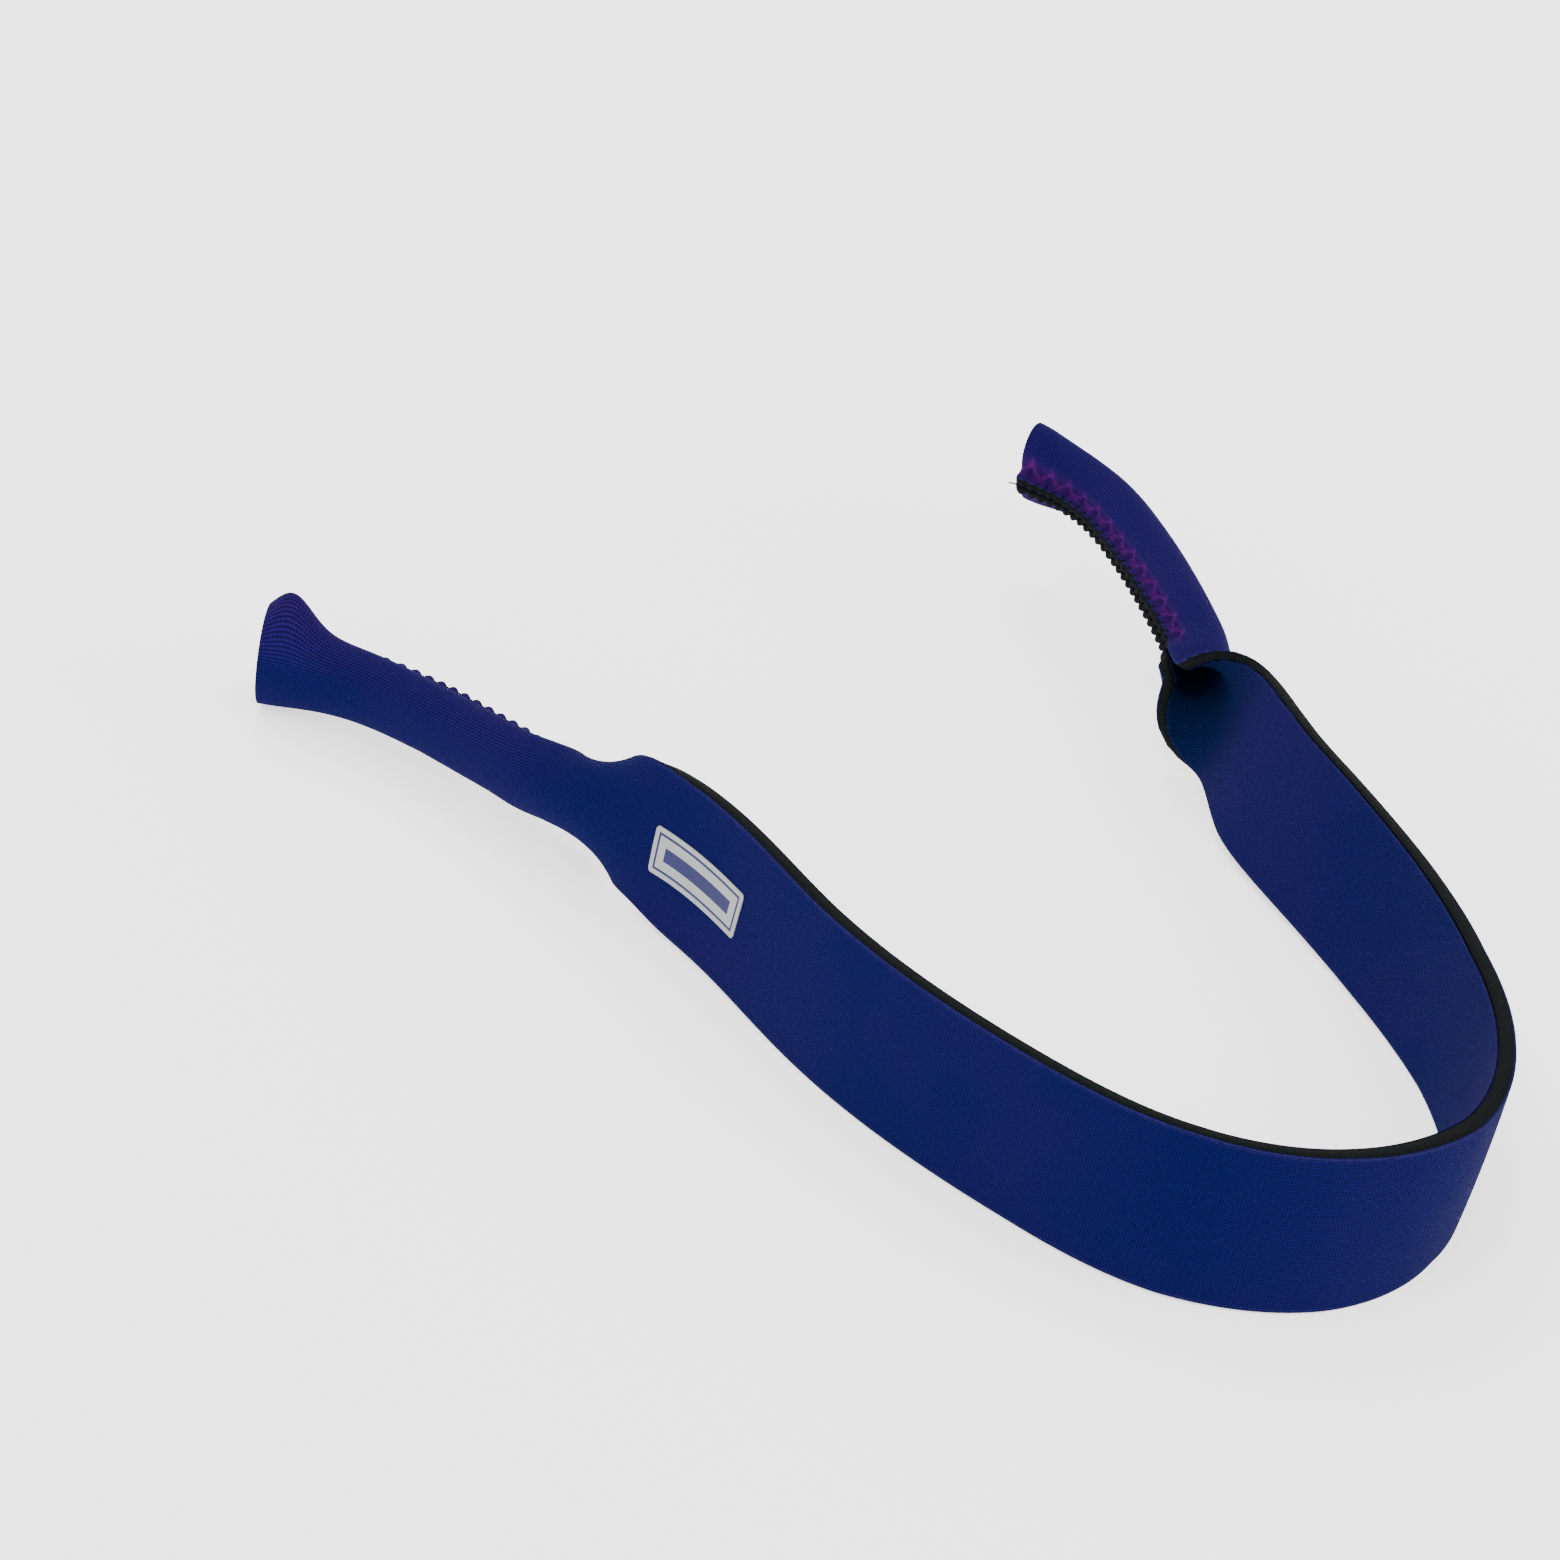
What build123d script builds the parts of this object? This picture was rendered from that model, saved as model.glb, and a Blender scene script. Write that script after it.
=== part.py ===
from build123d import *

import os
from math import cos, exp, pi, sin

# Neoprene eyewear retainer strap: a padded band that loops behind the neck and ends in two
# sewn sleeves, each of which grips the tip of a glasses temple.
#
# The strap is one die-cut strip of laminate (jersey, foam, jersey). Every layer is drawn as a set
# of cross-sections along one route, from the left mouth, round the neck, to the right mouth.
# Frame: +Z up, +Y towards the glasses, the loop closed at -Y, standing on its lower edge at z = 0.

os.makedirs("parts", exist_ok=True)

# ---- driving dimensions, in millimetres ----
band_width = 22.4          # 7/8 inch band
sleeve_width = 26.0        # width of the strip where it is folded into a sleeve
width_start, width_over = 22.0, 26.0     # the widening starts this far into the band and takes this long
thickness = 2.5            # laminate, jersey + foam + jersey
sleeve_thickness = 2.1     # the same laminate, stretched over the temple
jersey = 0.30              # one knitted facing
glue_line = 0.03           # flame bond between foam and facing
edge_inset = 0.3           # the facings stop this short of the foam's cut edge
left_seam = 53.0           # distance of the left seam's start from the left mouth
right_seam = 65.5          # distance of the right seam's start from the right mouth
seam_blend = 9.0           # length over which the meeting edges turn into face-to-face lips
lip = 1.8                  # seam allowance: the raw edges lie face to face over this length
lip_bend = 1.7             # bend radius where the sleeve wall turns into the lip
ovalness = 0.36            # 0 is a round sleeve, more makes it taller than it is deep
mouth_flare = 3.0          # how much wider half the strip is stretched at a mouth
flare_length = 8.0
lift_length = 4.0          # length of the lifted upper side of a mouth, to each side of its peak
flat_curl = 0.08           # slight crown of the flat band, in radians
full_curl = 5.65           # turn of the strip where its edges first meet, in radians
waist_at = {1: 8.0, -1: 13.0}     # narrowest place of a neck's upper and lower half, from the seam
waist_length = 8.0

# Values for the left and the right end of the strip.
upper_neck = (12.0, 6.5)   # length over which the upper half curls up into the sleeve
lower_neck = (9.5, 5.0)    # the same for the lower half
upper_waist = (2.3, 2.2)   # how much narrower the upper half is at a neck
lower_waist = (2.6, 1.2)   # the same for the lower half
mouth_lift = (5.2, 0.5)    # how far the upper side of a mouth stands up
lift_at = (3.4, 1.5)       # peak of that lift, from the mouth
mouth_tilt = (0.0, 10.0)   # angle by which a mouth is cut askew, in degrees

left_hinge = 98.0          # bending lines, as distances from the left mouth
back_hinge = 200.0
right_hinge = 303.0
hinge_gap = 1.8            # free slot on the parent's side of each bending line

stitch_pitch = 2.3
thread = 0.3
label_start, label_end = 73.0, 92.5
label_reach = 0.30         # the label's half height as a share of half the strip
label_thickness = 0.12

# Route of the strip's middle line: x, y, z and the lean of its upper edge outwards, in degrees.
route = [
    (-73.0, 80.5, 7.0, 0),
    (-64.0, 71.0, 7.1, 5),
    (-58.5, 58.5, 7.5, 11),
    (-54.5, 45.5, 8.4, 6),
    (-51.5, 33.5, 9.9, -6),
    (-44.0, 14.5, 11.4, -8),
    (-41.5, -19.0, 11.3, -6),
    (-39.0, -39.0, 11.3, -6),
    (-33.5, -58.5, 11.3, -6),
    (-24.0, -77.5, 11.3, -8),
    (-7.0, -88.5, 11.3, -3),
    (12.0, -87.0, 11.3, 5),
    (27.0, -75.0, 11.3, 4),
    (37.0, -56.5, 11.3, 5),
    (43.0, -35.5, 11.2, 12),
    (47.0, -12.5, 11.2, 17),
    (49.5, 2.5, 11.6, 18),
    (60.2, 27.5, 13.3, 10),
    (65.5, 42.5, 15.5, 0),
    (69.5, 58.5, 17.9, -13),
    (70.5, 75.0, 19.5, -19),
    (66.8, 88.0, 19.9, -15),
]

centre_shift = Vector(0.35, 0.5, 0)     # brings the middle of the footprint to the origin

with BuildLine() as middle_line:
    Spline([Vector(*point[:3]) + centre_shift for point in route])
spine = middle_line.edges()[0]
run = spine.length


def chord_distances():
    """Distance of each route point, by straight chords scaled to the true length."""
    total = [0.0]
    for a, b in zip(route, route[1:]):
        total.append(total[-1] + (Vector(*b[:3]) - Vector(*a[:3])).length)
    return [d * run / total[-1] for d in total]


marks = chord_distances()


def lean_at(s):
    """Lean of the strip at distance s, in degrees, straight between the route points."""
    for i in range(len(marks) - 2):
        if s < marks[i + 1]:
            break
    share = (s - marks[i]) / (marks[i + 1] - marks[i])
    return route[i][3] + share * (route[i + 1][3] - route[i][3])


def end_value(s, pair):
    """The left end's value in the first half of the strip, the right end's in the second."""
    return pair[0] if s < run / 2 else pair[1]


def from_mouth(s):
    return min(s, run - s)


def section_plane(s):
    """Plane across the strip: local x is its width direction, local y its outer side."""
    along = spine.tangent_at(s, position_mode=PositionMode.LENGTH)
    up = (Vector(0, 0, 1) - along * along.Z).normalized()
    across = up.rotate(Axis((0, 0, 0), along), lean_at(s))
    tilt = end_value(s, mouth_tilt) * exp(-((from_mouth(s) / flare_length) ** 2))
    normal = along.rotate(Axis((0, 0, 0), across), tilt)
    return Plane(spine.position_at(s, position_mode=PositionMode.LENGTH), across, normal)


def ease(x):
    """0 below 0, 1 above 1, and a smooth step between."""
    x = min(max(x, 0.0), 1.0)
    return x * x * (3 - 2 * x)


def into_band(s):
    """Distance from the nearer seam start, positive in the band, negative in a sleeve."""
    return min(s - left_seam, run - right_seam - s)


def fold_share(s):
    return ease((width_start - into_band(s)) / width_over)


def half_width(s, side):
    flare = mouth_flare * exp(-((from_mouth(s) / flare_length) ** 2))
    waist = end_value(s, upper_waist if side > 0 else lower_waist)
    waist *= exp(-(((into_band(s) - waist_at[side]) / waist_length) ** 2))
    return (band_width + (sleeve_width - band_width) * fold_share(s)) / 2 + flare - waist


def local_thickness(s):
    return thickness + (sleeve_thickness - thickness) * fold_share(s)


def closed_turn(length, half, peak):
    """Direction of a closed sleeve's wall at a length from the fold: an oval, then the lip."""
    oval = half - lip - lip_bend * (peak - pi / 2)
    if length <= oval:
        angle = peak * length / oval
        return angle - ovalness * sin(2 * angle)
    turned = peak - ovalness * sin(2 * peak) - (length - oval) / lip_bend
    return max(turned, pi / 2)


def walk(turns, half):
    """Points reached by a path of equal steps with these directions."""
    points = [(0.0, 0.0, turns[0])]
    step = half / (len(turns) - 1)
    for before, after in zip(turns, turns[1:]):
        x, y, _ = points[-1]
        mean = (before + after) / 2
        points.append((x + step * cos(mean), y - step * sin(mean), after))
    return points


steps = 48                   # equal steps along half a section
bisections = 30              # halvings that find how far a sleeve's wall turns before its lip
pull_share = 0.9             # the lips are drawn together over this share of half a section
close_cut, wide_cut = 2.5, 6.5
neck_length = 24.0           # from a seam start to where the band is flat


def half_profile(s, side=1):
    """Middle line of the upper (1) or lower (-1) half at distance s, from fold line to raw edge."""
    half = half_width(s, side)
    closed = ease(-into_band(s) / seam_blend)
    neck = end_value(s, upper_neck if side > 0 else lower_neck)
    curl = flat_curl + full_curl * exp(-((max(into_band(s), 0) / neck) ** 2))
    shares = [i / steps for i in range(steps + 1)]
    low, high = 0.55 * pi, 0.98 * pi
    meet = local_thickness(s) / 2 + glue_line
    for _ in range(bisections):
        peak = (low + high) / 2
        reach = walk([closed_turn(u * half, half, peak) for u in shares], half)[-1][0]
        low, high = (peak, high) if reach > meet else (low, peak)
    turns = [(1 - closed) * curl / 2 * u + closed * closed_turn(u * half, half, peak) for u in shares]
    points = walk(turns, half)
    excess = (points[-1][0] - meet) * closed
    points = [(x - excess * ease(u / pull_share), y, turn) for (x, y, turn), u in zip(points, shares)]
    if side < 0:
        return points
    lift = end_value(s, mouth_lift) * exp(-(((from_mouth(s) - end_value(s, lift_at)) / lift_length) ** 2))
    widest = max(x for x, _, _ in points)      # the lips stay face to face, only the wall is lifted
    return [(x + lift * (max(x - meet, 0) / (widest - meet)) ** 2, y, turn) for x, y, turn in points]


def layer_outline(s, low, high, reach=1.0, inset=0.0):
    """Corner points of one layer between two depths: its outer curve and its inner curve."""
    stretch = local_thickness(s) / thickness
    last = int(steps * reach)
    halves = {}
    for side in (1, -1):
        points = half_profile(s, side)[: last + 1]
        x, y, turn = points[-1]
        points[-1] = (x - inset * cos(turn), y + inset * sin(turn), turn)
        halves[side] = points[::3] if last % 3 == 0 else points[::3] + [points[-1]]
    curves = []
    for depth in (high * stretch, low * stretch):
        upper, lower = (
            [(side * (x + depth * sin(turn)), y + depth * cos(turn)) for x, y, turn in halves[side]]
            for side in (1, -1)
        )
        curves.append(lower[:0:-1] + upper)
    return curves


def draw_section(s, low, high, reach=1.0, inset=0.0):
    outer, inner = layer_outline(s, low, high, reach, inset)
    with BuildSketch(section_plane(s)) as section:
        with BuildLine():
            Spline(outer)
            Line(outer[-1], inner[-1])
            Spline(inner[::-1])
            Line(inner[0], outer[0])
        make_face()
    return section.sketch


def cuts(start, end):
    """Distances of the sections between two ends: close in the sleeves and necks, wide in the band."""
    places = [start]
    while places[-1] < end:
        places.append(places[-1] + (close_cut if into_band(places[-1]) < neck_length else wide_cut))
    places[-1] = end
    if end - places[-2] < close_cut / 2:
        del places[-2]
    return places


half_foam = thickness / 2 - jersey - glue_line
layers = {
    "foam": (-half_foam, half_foam, 0.0),
    "outer_facing": (thickness / 2 - jersey, thickness / 2, edge_inset),
    "inner_facing": (-thickness / 2, -thickness / 2 + jersey, edge_inset),
}
lengths = {
    "left_sleeve": (0.0, left_hinge),
    "band_left": (left_hinge + hinge_gap, back_hinge - hinge_gap),
    "band_right": (back_hinge, right_hinge - hinge_gap),
    "right_sleeve": (right_hinge, run),
}

# ---- the laminate: three layers in four lengths ----
for length_name, (start, end) in lengths.items():
    for layer_name, (low, high, inset) in layers.items():
        with BuildPart() as layer:
            loft([draw_section(s, low, high, inset=inset) for s in cuts(start, end)], ruled=True)
        node = f"{length_name}_{layer_name}"
        layer.part.label = node
        export_step(layer.part, f"parts/{node}.step")

# ---- the seams: a needle thread through both lips and a looper thread over the raw edges ----
lip_face = sleeve_thickness + glue_line + 0.1      # outer face of a lip, with thread clearance
needle_depth = 1.3                                 # needle line, from the raw edge
seam_end = 3.0                                     # the stitches stop this short of a mouth
needle_run = 0.85                                  # visible share of each stitch of the needle thread
edge_gap = 0.1                                     # looper thread, off the raw edge


def stitch_places(start, end):
    count = int((end - start) / stitch_pitch)
    return [start + stitch_pitch * i for i in range(count + 1)]


seams = {
    "left": (seam_end, left_seam - seam_blend),
    "right": (run - right_seam + seam_blend, run - seam_end),
}

for side, (first, last) in seams.items():
    with BuildPart() as looper:
        for s in stitch_places(first, last):
            raw_edge = half_profile(s)[-1][1] - edge_gap
            with BuildSketch(section_plane(s)):
                with Locations((0, raw_edge - thread)):
                    Rectangle(2 * (lip_face + thread), thread, align=(Align.CENTER, Align.MIN))
                for x in (-lip_face - thread / 2, lip_face + thread / 2):
                    with Locations((x, raw_edge)):
                        Rectangle(thread, needle_depth, align=(Align.CENTER, Align.MIN))
            extrude(amount=thread)
    looper.part.label = f"{side}_looper_thread"
    export_step(looper.part, f"parts/{side}_looper_thread.step")

    with BuildPart() as needle:
        for s in stitch_places(first, last):
            line = half_profile(s)[-1][1] + needle_depth
            with BuildSketch(section_plane(s)):
                with Locations((0, line)):
                    Rectangle(2 * (lip_face + thread), thread, align=(Align.CENTER, Align.MIN))
            extrude(amount=thread)
            with BuildSketch(section_plane(s)):
                for x in (-lip_face - thread / 2, lip_face + thread / 2):
                    with Locations((x, line)):
                        Rectangle(thread, thread, align=(Align.CENTER, Align.MIN))
            extrude(amount=stitch_pitch * needle_run)
    needle.part.label = f"{side}_needle_thread"
    export_step(needle.part, f"parts/{side}_needle_thread.step")

# ---- a plain heat-transfer label on the outer facing, behind the left neck ----
with BuildPart() as label:
    label_low = thickness / 2 + glue_line
    label_cuts = [label_start + (label_end - label_start) * i / 4 for i in range(5)]
    label_high = label_low + label_thickness
    loft([draw_section(s, label_low, label_high, reach=label_reach) for s in label_cuts], ruled=True)
label.part.label = "label"
export_step(label.part, "parts/label.step")

print("run", round(run, 2))
for name, s in (("left", left_hinge), ("back", back_hinge), ("right", right_hinge)):
    plane = section_plane(s)
    print(name, "bending line at", tuple(plane.origin), "along", tuple(plane.x_dir))
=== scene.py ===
import math

import bpy
import numpy as np
from mathutils import Matrix, Vector


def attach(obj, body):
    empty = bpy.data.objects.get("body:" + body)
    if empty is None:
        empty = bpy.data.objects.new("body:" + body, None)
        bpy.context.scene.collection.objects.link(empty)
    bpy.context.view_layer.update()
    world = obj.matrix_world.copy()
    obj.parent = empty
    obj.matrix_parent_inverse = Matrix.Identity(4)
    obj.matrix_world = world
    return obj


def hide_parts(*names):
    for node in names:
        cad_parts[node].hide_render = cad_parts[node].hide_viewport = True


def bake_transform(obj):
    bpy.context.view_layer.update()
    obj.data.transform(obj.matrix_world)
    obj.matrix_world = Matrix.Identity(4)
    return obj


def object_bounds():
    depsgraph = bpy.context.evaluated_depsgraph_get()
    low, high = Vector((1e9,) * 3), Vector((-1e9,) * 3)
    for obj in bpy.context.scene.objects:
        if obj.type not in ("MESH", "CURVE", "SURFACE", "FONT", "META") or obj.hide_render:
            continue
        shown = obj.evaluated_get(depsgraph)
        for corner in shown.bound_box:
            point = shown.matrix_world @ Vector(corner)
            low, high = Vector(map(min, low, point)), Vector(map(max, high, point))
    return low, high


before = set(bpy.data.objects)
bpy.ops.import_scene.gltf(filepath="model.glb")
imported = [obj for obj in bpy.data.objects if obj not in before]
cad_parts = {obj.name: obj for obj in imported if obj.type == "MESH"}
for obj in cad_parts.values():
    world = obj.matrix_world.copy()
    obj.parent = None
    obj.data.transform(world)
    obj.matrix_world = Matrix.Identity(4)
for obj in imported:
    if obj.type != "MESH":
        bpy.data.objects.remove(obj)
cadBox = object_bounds()
mm = 0.001
print("frame loaded:", len(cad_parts), "nodes")

# ---- camera: stands behind the wearer's left shoulder and looks down at the loop ----
viewFrom = {"place": (-0.2978, -0.3663, 0.2948), "heading": 35.48, "down": 30.53, "roll": 9.16, "lens": 92.3}


def addCamera():
    # heading is clockwise from +Y seen from above, down is below the horizon, roll turns about the line of sight
    heading, down = math.radians(viewFrom["heading"]), math.radians(viewFrom["down"])
    forward = Vector((math.sin(heading) * math.cos(down), math.cos(heading) * math.cos(down), -math.sin(down)))
    level = forward.cross(Vector((0, 0, 1))).normalized()
    turn = Matrix.Rotation(-math.radians(viewFrom["roll"]), 3, forward)
    right = turn @ level
    up = right.cross(forward)
    data = bpy.data.cameras.new("camera")
    data.lens, data.sensor_width, data.clip_start, data.clip_end = viewFrom["lens"], 36, 0.01, 10
    camera = bpy.data.objects.new("camera", data)
    bpy.context.scene.collection.objects.link(camera)
    axes = Matrix((right, up, -forward)).transposed()
    camera.matrix_world = Matrix.Translation(Vector(viewFrom["place"])) @ axes.to_4x4()
    bpy.context.scene.camera = camera


addCamera()
print("camera placed")

# ---- the strip's route, in millimetres: x, y, z and the lean of the upper edge outwards, in degrees ----
strap = {
    "route": [
        (-73.0, 80.5, 7.0, 0), (-64.0, 71.0, 7.1, 5), (-58.5, 58.5, 7.5, 11), (-54.5, 45.5, 8.4, 6),
        (-51.5, 33.5, 9.9, -6), (-44.0, 14.5, 11.4, -8), (-41.5, -19.0, 11.3, -6), (-39.0, -39.0, 11.3, -6),
        (-33.5, -58.5, 11.3, -6), (-24.0, -77.5, 11.3, -8), (-7.0, -88.5, 11.3, -3), (12.0, -87.0, 11.3, 5),
        (27.0, -75.0, 11.3, 4), (37.0, -56.5, 11.3, 5), (43.0, -35.5, 11.2, 12), (47.0, -12.5, 11.2, 17),
        (49.5, 2.5, 11.6, 18), (60.2, 27.5, 13.3, 10), (65.5, 42.5, 15.5, 0), (69.5, 58.5, 17.9, -13),
        (70.5, 75.0, 19.5, -19), (66.8, 88.0, 19.9, -15)],
    "centreShift": (0.35, 0.5, 0.0),
    "bandWidth": 22.4, "sleeveWidth": 26.0, "thickness": 2.5, "sleeveThickness": 2.1,
    "jersey": 0.30, "glueLine": 0.03, "edgeInset": 0.3,
    "leftSeam": 53.0, "rightSeam": 65.5,
    "upperNeck": (12.0, 6.5), "lowerNeck": (9.5, 5.0),          # left and right ends of the strip
    "upperWaist": (2.3, 2.2), "lowerWaist": (2.6, 1.2), "waistAt": {1: 8.0, -1: 13.0}, "waistLength": 8.0,
    "mouthLift": (5.2, 0.5), "liftAt": (3.4, 1.5), "liftLength": 4.0, "mouthTilt": (0.0, 10.0),
    "lip": 1.8, "lipBend": 1.7, "ovalness": 0.36,
    "mouthFlare": 3.0, "flareLength": 8.0, "flatCurl": 0.08, "fullCurl": 5.65,
    "seamBlend": 9.0, "widthBlend": (22.0, 26.0),
    "stitchPitch": 2.3, "needleDepth": 1.3, "squeeze": (0.1, 0.75),
}
splitAt = {"left": 150.0, "right": 251.0}        # where the pieces meet, in the still part of each band half
bendReach = 16.0                                 # a distance either side of each hinge, where the route's point is looked up but not used


def routeCurve():
    # natural cubic spline through the route's points, with the chords between them as its parameter
    points = np.array([p[:3] for p in strap["route"]], float) + np.array(strap["centreShift"])
    leans = np.array([p[3] for p in strap["route"]], float)
    knots = np.concatenate([[0], np.cumsum(np.linalg.norm(np.diff(points, axis=0), axis=1))])
    h = np.diff(knots)
    n = len(knots)
    system, right = np.zeros((n, n)), np.zeros((n, 3))
    system[0, 0] = system[-1, -1] = 1
    inside = np.arange(1, n - 1)
    system[inside, inside - 1] = h[:-1]
    system[inside, inside] = 2 * (h[:-1] + h[1:])
    system[inside, inside + 1] = h[1:]
    slopes = np.diff(points, axis=0) / h[:, None]
    right[inside] = 6 * (slopes[1:] - slopes[:-1])
    bend = np.linalg.solve(system, right)
    t = np.linspace(0, knots[-1], 6001)
    i = np.clip(np.searchsorted(knots, t, side="right") - 1, 0, n - 2)
    a, b = (knots[i + 1] - t)[:, None], (t - knots[i])[:, None]
    hi = h[i][:, None]
    line = (bend[i] * a**3 + bend[i + 1] * b**3) / (6 * hi)
    line += (points[i] / hi - bend[i] * hi / 6) * a + (points[i + 1] / hi - bend[i + 1] * hi / 6) * b
    travelled = np.concatenate([[0], np.cumsum(np.linalg.norm(np.diff(line, axis=0), axis=1))])
    marks = knots * travelled[-1] / knots[-1]
    return line, travelled, marks, leans


curveLine, curveTravel, leanMarks, leanValues = routeCurve()
run = curveTravel[-1]
print("strip length", round(float(run), 1), "mm")


def ease(x):
    # 0 below 0, 1 above 1, and a smooth step between
    x = np.clip(x, 0, 1)
    return x * x * (3 - 2 * x)


def placeOn(s):
    # the route's point at distance s, by linear reading of the finely cut spline
    return np.stack([np.interp(s, curveTravel, curveLine[:, k]) for k in range(3)], axis=-1)


def endValue(s, name):
    # the left end's value in the first half of the strip, the right end's in the second
    left, right = strap[name]
    return np.where(s < run / 2, left, right)


def framesAt(s):
    # tangent by central difference; the width direction is the upright, leaned about the tangent; outwards is
    # tangent x width, tipped along the strip at a mouth that is cut askew
    ahead, back = np.clip(s + 0.6, 0, run), np.clip(s - 0.6, 0, run)
    along = placeOn(ahead) - placeOn(back)
    along /= np.linalg.norm(along, axis=-1, keepdims=True)
    up = np.array([0, 0, 1.0]) - along * along[..., 2:3]
    up /= np.linalg.norm(up, axis=-1, keepdims=True)
    lean = np.radians(np.interp(s, leanMarks, leanValues))[..., None]
    across = up * np.cos(lean) + np.cross(along, up) * np.sin(lean)
    tilt = np.radians(endValue(s, "mouthTilt") * np.exp(-((np.minimum(s, run - s) / strap["flareLength"]) ** 2)))
    outward = np.cross(along, across) * np.cos(tilt)[..., None] + along * np.sin(tilt)[..., None]
    return along, across, outward


def intoBand(s):
    return np.minimum(s - strap["leftSeam"], run - strap["rightSeam"] - s)


def foldShare(s):
    start, over = strap["widthBlend"]
    return ease((start - intoBand(s)) / over)


def halfWidth(s, side=1):
    # the upper (1) and the lower half (-1) are drawn in by different amounts at a neck
    flare = strap["mouthFlare"] * np.exp(-((np.minimum(s, run - s) / strap["flareLength"]) ** 2))
    waist = endValue(s, "upperWaist" if side > 0 else "lowerWaist")
    waist = waist * np.exp(-(((intoBand(s) - strap["waistAt"][side]) / strap["waistLength"]) ** 2))
    return (strap["bandWidth"] + (strap["sleeveWidth"] - strap["bandWidth"]) * foldShare(s)) / 2 + flare - waist


def localThickness(s):
    return strap["thickness"] + (strap["sleeveThickness"] - strap["thickness"]) * foldShare(s)


profileSteps = 96
shares = np.linspace(0, 1, profileSteps + 1)


def closedTurn(length, half, peak):
    # the wall's direction: it grows to the peak along an oval, then the lip bends back to straight down
    oval = half - strap["lip"] - strap["lipBend"] * (peak - math.pi / 2)
    angle = peak * length / oval
    ovalTurn = angle - strap["ovalness"] * np.sin(2 * angle)
    turned = peak - strap["ovalness"] * np.sin(2 * peak) - (length - oval) / strap["lipBend"]
    return np.where(length <= oval, ovalTurn, np.maximum(turned, math.pi / 2))


def walk(turns, half):
    # equal steps, each along the mean of the directions at its two ends
    mean = (turns[:, :-1] + turns[:, 1:]) / 2
    step = half / (turns.shape[1] - 1)
    zero = np.zeros((len(turns), 1))
    x = np.concatenate([zero, np.cumsum(step * np.cos(mean), axis=1)], axis=1)
    y = np.concatenate([zero, np.cumsum(-step * np.sin(mean), axis=1)], axis=1)
    return x, y


def halfProfiles(s, side=1):
    # middle line of the upper (1) or lower (-1) half at each distance: open it is an arc, closed it is the oval
    # whose lips meet; near a mouth the upper wall is lifted by a square law, and the lips are not
    half, closed = halfWidth(s, side)[:, None], ease(-intoBand(s) / strap["seamBlend"])[:, None]
    neck = endValue(s, "upperNeck" if side > 0 else "lowerNeck")
    curl = strap["flatCurl"] + strap["fullCurl"] * np.exp(-((np.maximum(intoBand(s), 0) / neck) ** 2))
    meet = localThickness(s)[:, None] / 2 + strap["glueLine"]
    low, high = np.full_like(half, 0.55 * math.pi), np.full_like(half, 0.98 * math.pi)
    for _ in range(30):
        peak = (low + high) / 2
        over = walk(closedTurn(shares * half, half, peak), half)[0][:, -1:] > meet
        low, high = np.where(over, peak, low), np.where(over, high, peak)
    turns = (1 - closed) * curl[:, None] / 2 * shares + closed * closedTurn(shares * half, half, peak)
    x, y = walk(turns, half)
    x = x - (x[:, -1:] - meet) * closed * ease(shares / 0.9)
    if side > 0:
        fromMouth = np.minimum(s, run - s) - endValue(s, "liftAt")
        lift = endValue(s, "mouthLift") * np.exp(-((fromMouth / strap["liftLength"]) ** 2))
        widest = x.max(axis=1, keepdims=True)
        x = x + lift[:, None] * (np.maximum(x - meet, 0) / (widest - meet)) ** 2
    return x, y, turns


def stitchWave(s):
    # 0 at a stitch, 1 midway to the next, and 0 all along where there is no seam
    phase = np.abs(np.sin(math.pi * s / strap["stitchPitch"]))
    sewn = ease((-intoBand(s) - 4) / 5)
    return phase, sewn


def layerSurface(s, depth, inset=0.0):
    # one face of a layer: the middle line moved by depth along its normal, both halves, as points in metres;
    # the stitches pull the raw edges in, so the lips bulge between them
    phase, sewn = stitchWave(s)
    pull = (phase**0.7 - 0.55)[:, None] * sewn[:, None] * ease((shares - 0.68) / 0.24)[None, :]
    offset = depth * (localThickness(s) / strap["thickness"])[:, None] + (0.42 * pull if depth > 0 else 0.0)
    fromInner = depth / strap["thickness"] + 0.5
    squeeze = (endValue(s, "squeeze") * sewn)[:, None] * ease((shares - 0.80) / 0.14)[None, :]
    offset = offset - fromInner * squeeze
    halves = []
    for side in (-1, 1):
        x, y, turns = halfProfiles(s, side)
        outX = x + offset * np.sin(turns)
        outY = y + offset * np.cos(turns) - 0.75 * pull
        outX[:, -1] -= inset * np.cos(turns[:, -1])
        outY[:, -1] += inset * np.sin(turns[:, -1])
        halves.append((side * outX, outY))
    (lowX, lowY), (highX, highY) = halves
    fullX = np.concatenate([lowX[:, :0:-1], highX], axis=1)
    fullY = np.concatenate([lowY[:, :0:-1], highY], axis=1)
    along, across, outward = framesAt(s)
    points = placeOn(s)[:, None] + fullX[..., None] * across[:, None] + fullY[..., None] * outward[:, None]
    return points * mm


def arcAcross(s):
    # distance from the fold line along the section, negative in the lower half
    upper, lower = (shares[None, :] * halfWidth(s, side)[:, None] for side in (1, -1))
    return np.concatenate([-lower[:, :0:-1], upper], axis=1)


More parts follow.
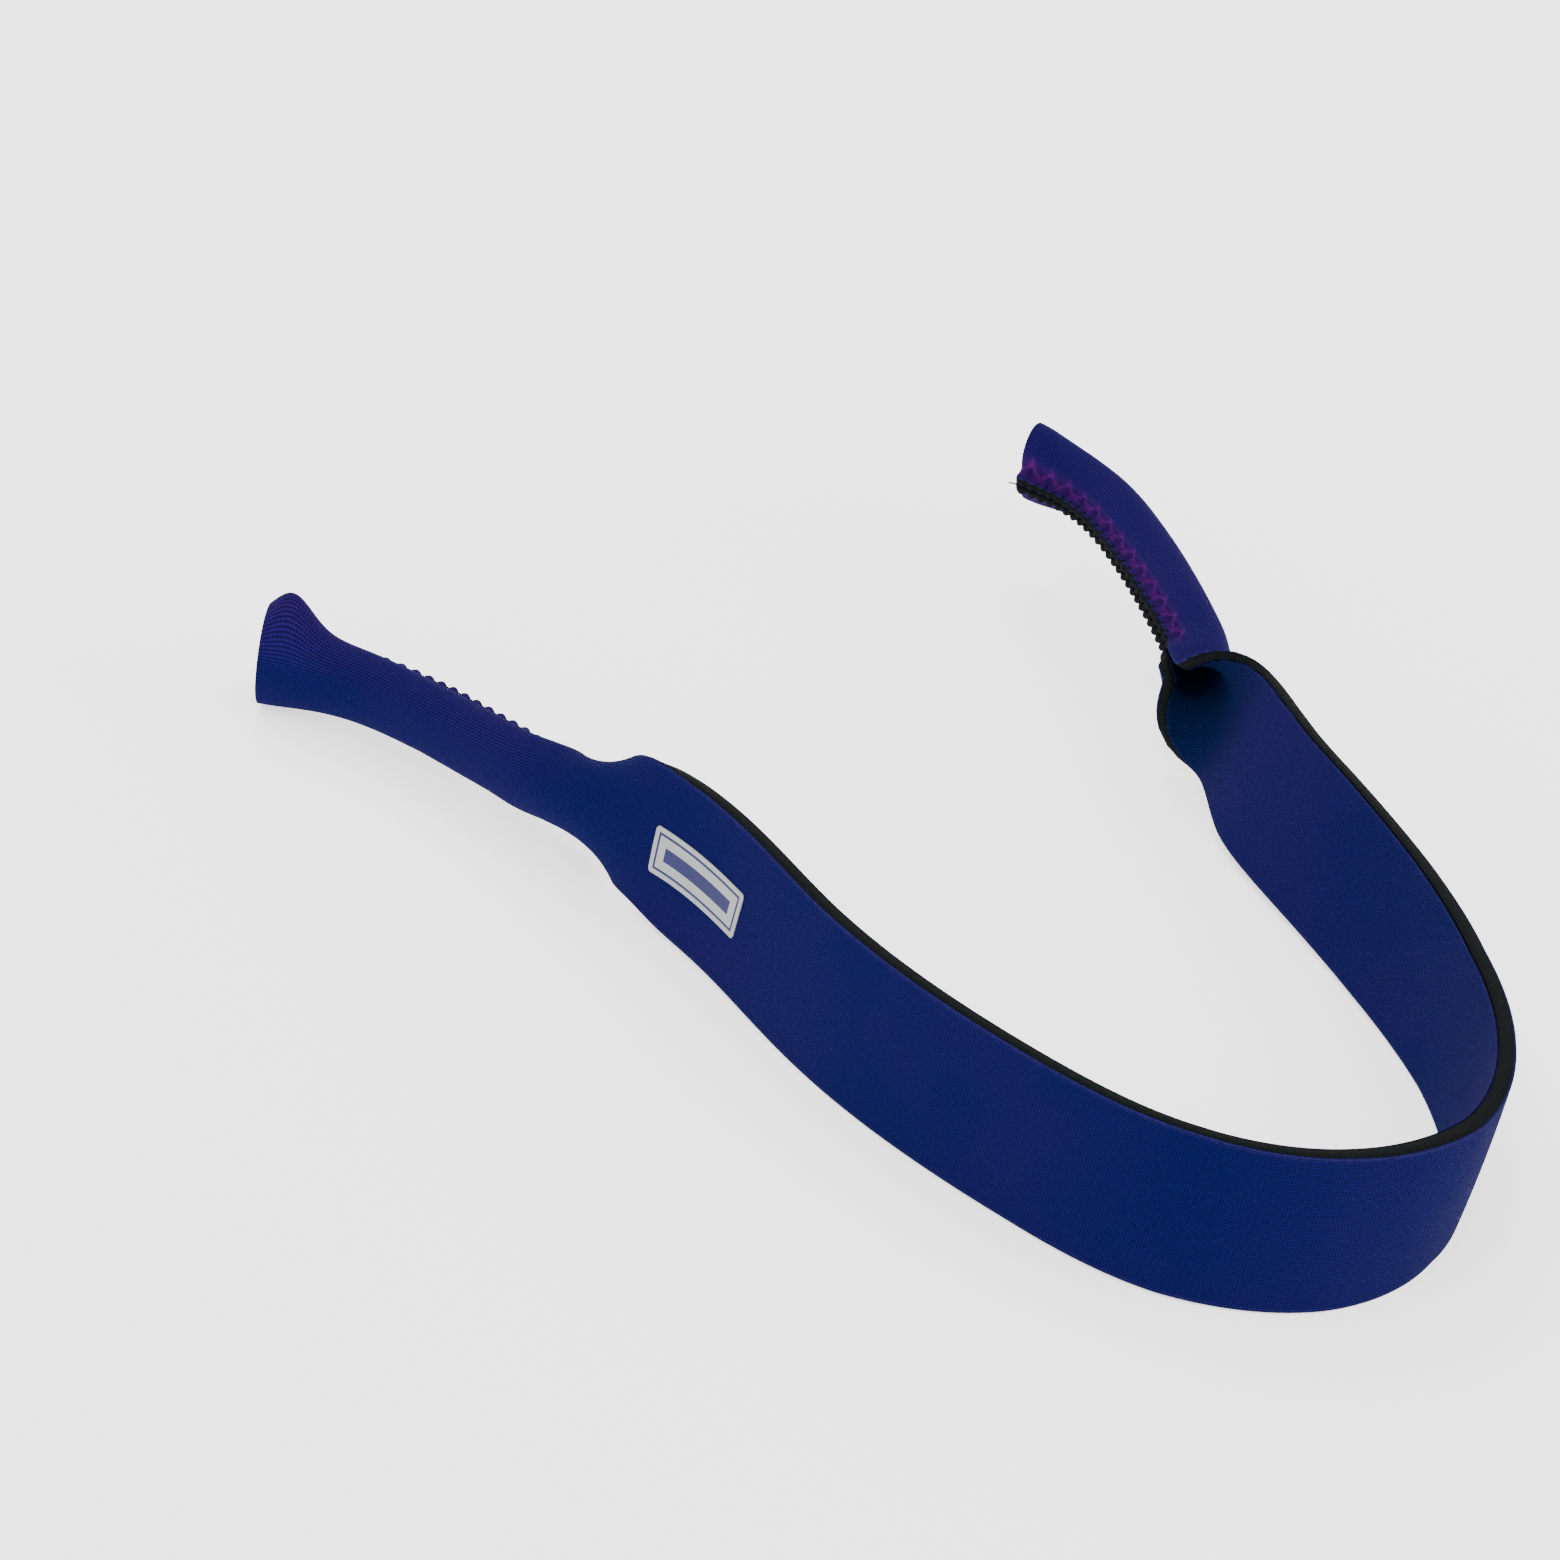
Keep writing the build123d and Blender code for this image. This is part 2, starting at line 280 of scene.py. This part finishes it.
def addMesh(name, points, faces, uvs=None):
    mesh = bpy.data.meshes.new(name)
    mesh.from_pydata(points.reshape(-1, 3), [], faces)
    mesh.polygons.foreach_set("use_smooth", np.ones(len(mesh.polygons), bool))
    if uvs is not None:
        corner = np.zeros(len(mesh.loops), np.int32)
        mesh.loops.foreach_get("vertex_index", corner)
        layer = mesh.uv_layers.new(name="strip")
        layer.data.foreach_set("uv", uvs[corner].astype(np.float32).ravel())
    mesh.update()
    piece = bpy.data.objects.new(name, mesh)
    bpy.context.scene.collection.objects.link(piece)
    return piece


def gridFaces(rows, columns, wrap):
    # quads between neighbouring rows and columns; wrap joins the last column to the first
    r = np.arange(rows - 1)[:, None]
    c = np.arange(columns if wrap else columns - 1)[None, :]
    d = (c + 1) % columns
    quads = np.stack(np.broadcast_arrays(r * columns + c, (r + 1) * columns + c, (r + 1) * columns + d,
                                         r * columns + d), axis=-1)
    return quads.reshape(-1, 4)


def sweptShell(name, s, outer, inner, arc):
    # a closed shell: the outer face, then the inner face backwards, as one loop per station; strips of quads close
    # the two ends; UV is distance along the strip and distance across it, in metres
    rows, columns = len(s), outer.shape[1]
    loop = np.concatenate([outer, inner[:, ::-1]], axis=1)
    faces = gridFaces(rows, 2 * columns, wrap=True)
    c = np.arange(columns - 1)
    first = np.stack([c, c + 1, 2 * columns - 2 - c, 2 * columns - 1 - c], axis=-1)
    last = (first + (rows - 1) * 2 * columns)[:, ::-1]
    faces = np.concatenate([faces, first, last])
    v = np.concatenate([arc, arc[:, ::-1]], axis=1)
    u = np.broadcast_to(s[:, None], v.shape)
    piece = addMesh(name, loop, faces.tolist(), np.stack([u, v], axis=-1).reshape(-1, 2) * mm)
    smooth = np.ones(len(faces), bool)
    smooth[-2 * (columns - 1):] = False          # flat ends keep the long faces' shading straight at the joins
    piece.data.polygons.foreach_set("use_smooth", smooth)
    return piece


def stations(start, end):
    # close together where the strip is sewn or turns into a sleeve, wider along the flat band, with one more close
    # to each end so that the end faces don't bend the shading of the long ones
    places = [start]
    while places[-1] < end - 1e-6:
        fine = min(places[-1], run - places[-1]) < max(strap["leftSeam"], strap["rightSeam"]) + 4
        places.append(places[-1] + (0.46 if fine else 1.0))
    places[-1] = end
    return np.array(places[:1] + [start + 0.02] + places[1:-1] + [end - 0.02, end])


layers = {
    "foamCore": (-(strap["thickness"] / 2 - strap["jersey"]), strap["thickness"] / 2 - strap["jersey"], 0.0),
    "outerJersey": (strap["thickness"] / 2 - strap["jersey"], strap["thickness"] / 2, 0.12),
    "innerJersey": (-strap["thickness"] / 2, -strap["thickness"] / 2 + strap["jersey"], 0.45),
}
lengths = {
    "left": (0.0, splitAt["left"], "left_sleeve", "band_left", 98.0, ("left_sleeve", "band_left")),
    "back": (splitAt["left"], splitAt["right"], "band_left", "band_right", 200.0, ()),
    "right": (splitAt["right"], run, "band_right", "right_sleeve", 303.0, ("right_sleeve", "band_right")),
}
jerseyNames = {"foamCore": "foam", "outerJersey": "outer_facing", "innerJersey": "inner_facing"}


def alongStrip(s, middle=-11.2):
    return tuple((placeOn(np.array([s]))[0]) * mm)


def paintStrip(piece, s, columns, inward):
    # four shares per point: painted sheen in violet towards the right sleeve, on the left end's upper side and along
    # the sewn edges; painted highlight on the puckers beside the stitches; painted shade in teal where the strip
    # closes into a sleeve on its inner side; and edge near the cut edges
    half = np.linspace(-1, 1, columns)
    across = np.abs(np.concatenate([half, half[::-1]]))[None, :]
    into = intoBand(s)[:, None]
    phase, sewn = stitchWave(s)
    # painted highlight on the puckers: a magenta zigzag between the stitches, on the lips beside the cut edges
    beside = ease((across - 0.66) / 0.08) * ease((0.97 - across) / 0.05)
    wave = 2 * np.abs(s[:, None] / (2 * strap["stitchPitch"]) % 1 - 0.5)
    zigzag = np.exp(-(((wave - ease((across - 0.70) / 0.22)) / 0.20) ** 2))
    pucker = (0.18 + 0.82 * zigzag) * sewn[:, None] * beside
    # painted sheen: a violet share towards the right sleeve, on the left end's upper side and along the sewn edges
    rightSide = ease((s[:, None] - run + 120) / 60)
    leftEnd = np.exp(-((s[:, None] / 14) ** 2)) + 0.6 * ease((66 - s[:, None]) / 30)
    upperSide = ease(np.concatenate([half, half[::-1]])[None, :] / 0.5)
    violet = np.clip(0.45 * rightSide + 0.6 * leftEnd * upperSide + 0.5 * sewn[:, None] * ease((across - 0.6) / 0.3),
                     0, 1)
    # painted shade: dark teal inside the funnel where the strip closes into a sleeve, on the inner jersey only
    funnel = ease((24 - into) / 26) * inward * np.ones_like(across)
    edge = ease((across - 0.93) / 0.07) * np.ones_like(into)
    for name, values in (("violet", violet), ("pucker", pucker), ("funnel", funnel), ("edge", edge)):
        attribute = piece.data.attributes.new(name, "FLOAT", "POINT")
        attribute.data.foreach_set("value", np.broadcast_to(values, (len(s), 2 * columns)).astype(np.float32).ravel())


pieces = {}
for side, (start, end, bodyA, bodyB, hinge, _) in lengths.items():
    s = stations(start, end)
    for layerName, (low, high, inset) in layers.items():
        outer = layerSurface(s, high, inset=inset)
        inner = layerSurface(s, low, inset=inset)
        piece = sweptShell(f"{side}_{layerName}", s, outer, inner, arcAcross(s))
        paintStrip(piece, s, outer.shape[1], 1.0 if layerName == "innerJersey" else 0.0)
        alongStrip(hinge - bendReach)
        alongStrip(hinge + bendReach)
        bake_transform(piece)
        nodes = {"left": ("left_sleeve",), "back": ("band_left", "band_right"), "right": ("right_sleeve",)}[side]
        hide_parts(*[f"{node}_{jerseyNames[layerName]}" for node in nodes])
        if layerName == "foamCore":
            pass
        else:
            flatWidth = float(np.mean(halfWidth(s, 1) + halfWidth(s, -1))) * mm
            (end - start) * mm
        pieces[f"{side}_{layerName}"] = piece
print("laminate made:", len(pieces), "pieces")

# ---- seams ----
seams = {
    "threadRadius": 0.12, "sides": 8, "pointsPerStitch": 28, "overlap": 0.10, "loopDepth": 0.6,
    "left": (3.0, strap["leftSeam"] - 9, "left_sleeve"),
    "right": (run - strap["rightSeam"] + 9, run - 3.0, "right_sleeve"),
}


def sectionPoint(s, x, y):
    # a point at x along the width and y outwards from the route, in metres
    along, across, outward = framesAt(s)
    return (placeOn(s) + x[:, None] * across + y[:, None] * outward) * mm


def threadTube(path, radius, sides):
    # a circle carried along the path, on frames built from each point's tangent and one fixed direction
    tangent = np.gradient(path, axis=0)
    tangent /= np.linalg.norm(tangent, axis=1, keepdims=True)
    reference = np.array([0.31, 0.17, 0.94])
    sideways = np.cross(tangent, reference)
    sideways /= np.linalg.norm(sideways, axis=1, keepdims=True)
    upwards = np.cross(sideways, tangent)
    angle = np.linspace(0, 2 * math.pi, sides, endpoint=False)
    ring = np.cos(angle)[None, :, None] * sideways[:, None] + np.sin(angle)[None, :, None] * upwards[:, None]
    points = path[:, None] + radius * ring
    faces = gridFaces(len(path), sides, wrap=True).tolist()
    faces.append(list(range(sides))[::-1])
    faces.append([(len(path) - 1) * sides + k for k in range(sides)])
    length = np.concatenate([[0], np.cumsum(np.linalg.norm(np.diff(path, axis=0), axis=1))])
    u = np.broadcast_to(length[:, None], points.shape[:2])
    v = np.broadcast_to(angle[None, :] * radius, points.shape[:2])
    return points.reshape(-1, 3), faces, np.stack([u, v], axis=-1).reshape(-1, 2)


def mergedMesh(name, parts):
    # several meshes as one piece: their points in one list, each one's faces moved up by the points before it
    points, faces, uvs = [], [], []
    for partPoints, partFaces, partUvs in parts:
        base = sum(len(p) for p in points)
        faces += [[base + i for i in face] for face in partFaces]
        points.append(partPoints)
        uvs.append(partUvs)
    return addMesh(name, np.concatenate(points), faces, np.concatenate(uvs))


def lipEdge(s):
    # how far out the raw edge lies, and the half thickness of both lips together
    x, y, _ = halfProfiles(s)
    return y[:, -1], localThickness(s) + strap["glueLine"] - endValue(s, "squeeze") * stitchWave(s)[1]


def looperPath(first, last):
    # one turn per stitch: over the raw edge from face to face almost square to the seam, then back through the
    # foam along the needle line to the next stitch
    count = int((last - first) / strap["stitchPitch"])
    t = np.linspace(0, count, count * seams["pointsPerStitch"] + 1)
    turn = t - np.floor(t)
    visible = 0.72
    theta = np.where(turn < visible, turn / visible * math.pi, math.pi + (turn - visible) / (1 - visible) * math.pi)
    advance = np.where(turn < visible, 0.16 * turn / visible, 0.16 + 0.84 * (turn - visible) / (1 - visible))
    s = (np.floor(first / strap["stitchPitch"]) + np.floor(t) + advance) * strap["stitchPitch"]
    edge, lips = lipEdge(s)
    depth = seams["loopDepth"]
    wide = lips + seams["threadRadius"] - seams["overlap"]
    x = wide * np.sign(np.cos(theta)) * np.abs(np.cos(theta)) ** 0.35
    over = np.maximum(np.sin(theta), 0) ** 0.6
    y = edge + depth - over * (depth + seams["threadRadius"] - 0.22)
    return sectionPoint(s, x, y)


def tailPath(last):
    # the cut thread end at the right mouth: along the raw edge, bending outwards with the square of its length
    t = np.linspace(0, 1, 24)
    s = np.minimum(last + (run - last) * 1.25 * t, run)
    beyond = (last + (run - last) * 1.25 * t - s)[:, None]
    edge, lips = lipEdge(s)
    along, across, outward = framesAt(s)
    path = sectionPoint(s, 0.25 * lips, edge - 0.05 - 0.9 * t**2)
    return path + beyond * along * mm


def needlePath(first, last, face):
    # along the needle line on one face, dipping into the foam at each stitch
    count = int((last - first) / strap["stitchPitch"])
    t = np.linspace(0, count, count * 16 + 1)
    s = (np.floor(first / strap["stitchPitch"]) + t) * strap["stitchPitch"]
    edge, lips = lipEdge(s)
    lift = np.abs(np.sin(math.pi * t)) ** 0.5
    x = face * (lips + seams["threadRadius"] - 0.28 + 0.22 * lift)
    return sectionPoint(s, x, edge + strap["needleDepth"] + 0.1)


for side in ("left", "right"):
    first, last, body = seams[side]
    sides, radius = seams["sides"], seams["threadRadius"] * mm
    path = looperPath(first, last)
    tubes = [threadTube(path, radius, sides)]
    if side == "right":
        tubes.append(threadTube(tailPath(last), radius, sides))
    looper = mergedMesh(f"{side}_looperThread", tubes)
    needle = mergedMesh(f"{side}_needleThread",
                        [threadTube(needlePath(first, last, face), radius, sides) for face in (-1, 1)])
    for piece, node in ((looper, "looper_thread"), (needle, "needle_thread")):
        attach(piece, body)
        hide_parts(f"{side}_{node}")
        pieces[piece.name] = piece
print("seams sewn")

# ---- label: a thin film laid on the outer jersey ----
labelFilm = {"start": 73.0, "end": 92.5, "halfHeight": 3.4, "thickness": 0.12, "corner": 0.5, "rows": 80,
             "columns": 40}


def labelSurface(lift):
    # a rectangle with rounded corners on the strip's outer face: near its ends each row is shortened by a
    # quarter circle
    s = np.linspace(labelFilm["start"], labelFilm["end"], labelFilm["rows"])
    fromEnd = np.minimum(s - labelFilm["start"], labelFilm["end"] - s)
    short = labelFilm["corner"] - np.sqrt(np.maximum(
        labelFilm["corner"]**2 - np.maximum(labelFilm["corner"] - fromEnd, 0)**2, 0))
    reach = labelFilm["halfHeight"] - short
    across = np.linspace(-1, 1, labelFilm["columns"])[None, :] * reach[:, None]
    arc = arcAcross(s)
    depth = (localThickness(s) / 2)[:, None] + lift
    (lowX, lowY, lowTurn), (highX, highY, highTurn) = halfProfiles(s, -1), halfProfiles(s, 1)
    whole = [np.concatenate([sign * low[:, :0:-1], high], axis=1)
             for sign, low, high in ((-1, lowX, highX), (1, lowY, highY), (-1, lowTurn, highTurn))]
    px, py, pt = (np.stack([np.interp(a, l, v) for a, l, v in zip(across, arc, values)]) for values in whole)
    outX = px + depth * np.sin(pt)
    outY = py + depth * np.cos(pt)
    _, acrossWay, outward = framesAt(s)
    points = placeOn(s)[:, None] + outX[..., None] * acrossWay[:, None] + outY[..., None] * outward[:, None]
    return s, across, points * mm


s, across, top = labelSurface(labelFilm["thickness"])
_, _, bottom = labelSurface(0.01)
label = sweptShell("labelFilm", s - labelFilm["start"], top, bottom, across)
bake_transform(label)
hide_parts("label")
pieces["labelFilm"] = label
print("label laid")


# ---- materials ----
class Wire:
    # wraps a node socket, so that + - * / and ** on it add Math nodes
    def __init__(self, tree, socket=None):
        self.tree, self.socket = tree, socket

    def node(self, kind, settings=None, inputs=None, output=0):
        # makes any node: its settings first, then the values or links of its sockets
        made = self.tree.nodes.new("ShaderNode" + kind)
        for name, value in (settings or {}).items():
            if name == "stops":
                ramp = made.color_ramp.elements
                for position, colour in value[2:]:
                    ramp.new(position)
                for element, (position, colour) in zip(ramp, sorted(value)):
                    element.position, element.color = position, (*colour, 1)
            else:
                setattr(made, name, value)
        for name, value in (inputs or {}).items():
            if isinstance(value, Wire):
                self.tree.links.new(value.socket, made.inputs[name])
            else:
                made.inputs[name].default_value = value
        return Wire(self.tree, made.outputs[output])

    def maths(self, operation, *values):
        return self.node("Math", {"operation": operation}, dict(enumerate(values)))

    def __add__(self, other): return self.maths("ADD", self, other)
    def __radd__(self, other): return self.maths("ADD", other, self)
    def __sub__(self, other): return self.maths("SUBTRACT", self, other)
    def __rsub__(self, other): return self.maths("SUBTRACT", other, self)
    def __mul__(self, other): return self.maths("MULTIPLY", self, other)
    def __rmul__(self, other): return self.maths("MULTIPLY", other, self)
    def __truediv__(self, other): return self.maths("DIVIDE", self, other)
    def __rtruediv__(self, other): return self.maths("DIVIDE", other, self)
    def __pow__(self, other): return self.maths("POWER", self, other)

    def mix(self, first, second):
        # this wire's value, from 0 to 1, goes from the first colour to the second
        made = self.tree.nodes.new("ShaderNodeMix")
        made.data_type = "RGBA"
        self.tree.links.new(self.socket, made.inputs[0])
        for slot, value in ((6, first), (7, second)):
            if isinstance(value, Wire):
                self.tree.links.new(value.socket, made.inputs[slot])
            else:
                made.inputs[slot].default_value = (*value, 1)
        return Wire(self.tree, made.outputs[2])


def newMaterial(name, constants):
    # a Principled shader with its constants set on its own sockets
    material = bpy.data.materials.new(name)
    material.use_nodes = True
    shader = material.node_tree.nodes["Principled BSDF"]
    for socket, value in constants.items():
        shader.inputs[socket].default_value = value
    return material, shader, Wire(material.node_tree)


def plug(wire, shader, socket):
    wire.tree.links.new(wire.socket, shader.inputs[socket])


def stripUv(start):
    # distance along and across the strip, in metres
    uv = start.node("UVMap", {"uv_map": "strip"})
    u = start.node("SeparateXYZ", inputs={0: uv}, output=0)
    v = start.node("SeparateXYZ", inputs={0: uv}, output=1)
    return uv, u, v


def share(start, name):
    return start.node("Attribute", {"attribute_name": name}, output=2)


# colours: the navy jersey, painted sheen in violet, painted highlight in magenta on the puckers, painted shade in
# teal inside the funnels, and lighter fuzz on the cut edges
jerseyLook = {"wale": 0.00062, "course": 0.00042, "navy": (0.0027, 0.0037, 0.066), "violet": (0.0145, 0.0036, 0.072), "pucker": (0.080, 0.0036, 0.140),
              "funnelShadeTeal": (0.0006, 0.0085, 0.040), "fuzz": (0.022, 0.019, 0.095), "roughness": 0.9}


def knitHeight(u, v, wale, course):
    # jersey face: each wale is two legs, each leg a row of slanted loops that meet as Vs
    cell = (v / wale).maths("FRACT", v / wale)
    fromMiddle = (cell - 0.5).maths("ABSOLUTE", cell - 0.5) * 2
    leg = 1 - ((fromMiddle - 0.5) * 2) ** 2
    phase = (u / course + fromMiddle * 0.55) * (2 * math.pi)
    loop = phase.maths("COSINE", phase) * 0.5 + 0.5
    return leg * (loop * 0.65 + 0.35)


def jerseyMaterial(name):
    material, shader, start = newMaterial(name, {"Specular IOR Level": 0.035})
    uv, u, v = stripUv(start)
    height = knitHeight(u, v, jerseyLook["wale"], jerseyLook["course"])
    patches = start.node("TexNoise", inputs={"Vector": uv, "Scale": 38.0, "Detail": 3.0, "Roughness": 0.5})
    flecks = start.node("TexNoise", inputs={"Vector": uv, "Scale": 1600.0, "Detail": 2.0, "Roughness": 0.6})
    # painted sheen: the violet share, varied at random by the patches
    violet = share(start, "violet") + (patches - 0.5) * 0.9 + 0.10
    violet = violet.node("Clamp", inputs={0: violet})
    colour = violet.mix(jerseyLook["navy"], jerseyLook["violet"])
    # painted highlight on the puckers
    colour = share(start, "pucker").mix(colour, jerseyLook["pucker"])
    # painted shade inside the funnel
    colour = share(start, "funnel").mix(colour, jerseyLook["funnelShadeTeal"])
    fuzz = share(start, "edge") * flecks
    colour = fuzz.mix(colour, jerseyLook["fuzz"])
    # painted shade: darker in the knit's gaps and lighter on its loops, times random flecks
    knitShadeAndFlecks = (height * 1.45 + 0.27) * (flecks * 0.6 + 0.7)
    grey = start.node("CombineXYZ", inputs={0: knitShadeAndFlecks, 1: knitShadeAndFlecks, 2: knitShadeAndFlecks})
    colour = start.node("VectorMath", {"operation": "MULTIPLY"}, {0: colour, 1: grey})
    plug(colour, shader, "Base Color")
    plug(height * -0.12 + jerseyLook["roughness"], shader, "Roughness")
    bump = start.node("Bump", inputs={"Strength": 0.9, "Distance": 0.00022, "Height": height + flecks * 0.25})
    plug(bump, shader, "Normal")
    return material


def foamMaterial():
    # cut closed-cell foam: fine round pits of two sizes on a dull black, painted darker inside the pits as shade,
    # with random grain
    material, shader, start = newMaterial("cutFoam", {"Specular IOR Level": 0.03})
    place = start.node("TexCoord", output=3)
    pits = start.node("TexVoronoi", inputs={"Vector": place, "Scale": 4200.0})
    grain = start.node("TexNoise", inputs={"Vector": place, "Scale": 900.0, "Detail": 4.0})
    # painted shade: darker inside the pits, mixed with random grain
    pitShadeAndGrain = (pits * 0.9 + grain * 0.5).node("Clamp", inputs={0: pits * 0.9 + grain * 0.5})
    plug(pitShadeAndGrain.mix((0.0008, 0.0010, 0.0010), (0.0070, 0.0085, 0.0085)), shader, "Base Color")
    plug(grain * 0.15 + 0.78, shader, "Roughness")
    plug(start.node("Bump", inputs={"Strength": 0.5, "Distance": 0.00012, "Height": pits + grain}), shader, "Normal")
    return material


def threadMaterial():
    # twisted filament: plies wind round the thread, with painted highlight on their ridges and painted shade in the
    # grooves between them
    material, shader, start = newMaterial("twistedThread", {"Specular IOR Level": 0.05})
    _, u, v = stripUv(start)
    phase = u * (2 * math.pi / 0.00055) + v * (2 / 0.00017)
    ply = phase.maths("SINE", phase) * 0.5 + 0.5
    # painted highlight on the ply ridges, painted shade in the grooves
    plug(ply.mix((0.0008, 0.0007, 0.0030), (0.0050, 0.0030, 0.0180)), shader, "Base Color")
    plug(ply * -0.15 + 0.6, shader, "Roughness")
    plug(start.node("Bump", inputs={"Strength": 0.6, "Distance": 0.00008, "Height": ply}), shader, "Normal")
    return material


def labelMaterial():
    # matt grey film with a plain dark frame line and one bar, and the knit showing faintly through as painted shade:
    # lighter over its loops, darker in its gaps
    material, shader, start = newMaterial("greyFilm", {"Specular IOR Level": 0.35})
    _, u, v = stripUv(start)
    halfLong = (labelFilm["end"] - labelFilm["start"]) / 2 * mm
    fromMiddleU = (u - halfLong).maths("ABSOLUTE", u - halfLong)
    fromMiddleV = v.maths("ABSOLUTE", v)
    inset = (fromMiddleU * -1 + halfLong).maths("MINIMUM", fromMiddleU * -1 + halfLong,
                                               fromMiddleV * -1 + labelFilm["halfHeight"] * mm)
    frameLine = inset.maths("COMPARE", inset, 0.0009, 0.00018)
    bar = fromMiddleV.maths("LESS_THAN", fromMiddleV, 0.0010) * fromMiddleU.maths(
        "LESS_THAN", fromMiddleU, halfLong - 0.0024)
    knit = knitHeight(u, v, jerseyLook["wale"], jerseyLook["course"])
    speckle = start.node("TexNoise", inputs={"Scale": 1500.0, "Detail": 3.0})
    # painted shade of the knit under the film, mixed with random speckle
    film = (knit * 0.4 + speckle * 0.6).mix((0.22, 0.235, 0.23), (0.34, 0.355, 0.345))
    dark = frameLine.maths("MAXIMUM", frameLine, bar)
    plug(dark.mix(film, jerseyLook["navy"]), shader, "Base Color")
    plug(speckle * 0.2 + 0.5, shader, "Roughness")
    plug(start.node("Bump", inputs={"Strength": 0.35, "Distance": 0.0001, "Height": knit}), shader, "Normal")
    return material


finishes = {"foamCore": foamMaterial(), "outerJersey": jerseyMaterial("jerseyKnit"),
            "looperThread": threadMaterial(), "labelFilm": labelMaterial()}
finishes["innerJersey"], finishes["needleThread"] = finishes["outerJersey"], finishes["looperThread"]
for name, piece in pieces.items():
    piece.data.materials.append(finishes[name.split("_")[-1]])
print("materials set")

# ---- floor and soft studio light ----
studio = {"floorHalf": 3.0, "floorColour": (0.95, 0.95, 0.95),
          "lamps": [("keyLamp", (-0.7, -0.3, 1.1), 6.5, 0.9), ("fillLamp", (0.9, -0.7, 0.8), 7.0, 1.0),
                    ("backLamp", (0.2, 1.0, 0.9), 8.0, 0.8)]}


def addFloor():
    half, z = studio["floorHalf"], cadBox[0].z
    corners = np.array([(-half, -half, z), (half, -half, z), (half, half, z), (-half, half, z)])
    floor = addMesh("floor", corners, [[0, 1, 2, 3]])
    material, shader, start = newMaterial("paleFloor", {"Roughness": 0.9, "Specular IOR Level": 0.1,
                                                        "Emission Color": (1, 1, 1, 1), "Emission Strength": 1.2})
    grain = start.node("TexNoise", inputs={"Scale": 60.0})
    plug(grain.mix(studio["floorColour"], tuple(0.985 * c for c in studio["floorColour"])), shader, "Base Color")
    floor.data.materials.append(material)


def addLamp(name, place, power, size):
    data = bpy.data.lights.new(name, "AREA")
    data.energy, data.size = power, size
    lamp = bpy.data.objects.new(name, data)
    bpy.context.scene.collection.objects.link(lamp)
    lamp.location = place
    lamp.rotation_euler = (-Vector(place)).to_track_quat("-Z", "Y").to_euler()


addFloor()
for lampSettings in studio["lamps"]:
    addLamp(*lampSettings)
world = bpy.data.worlds.new("studioWorld")
bpy.context.scene.world = world
world.use_nodes = True
world.node_tree.nodes["Background"].inputs["Color"].default_value = (1, 1, 1, 1)
world.node_tree.nodes["Background"].inputs["Strength"].default_value = 1.65
print("studio ready")
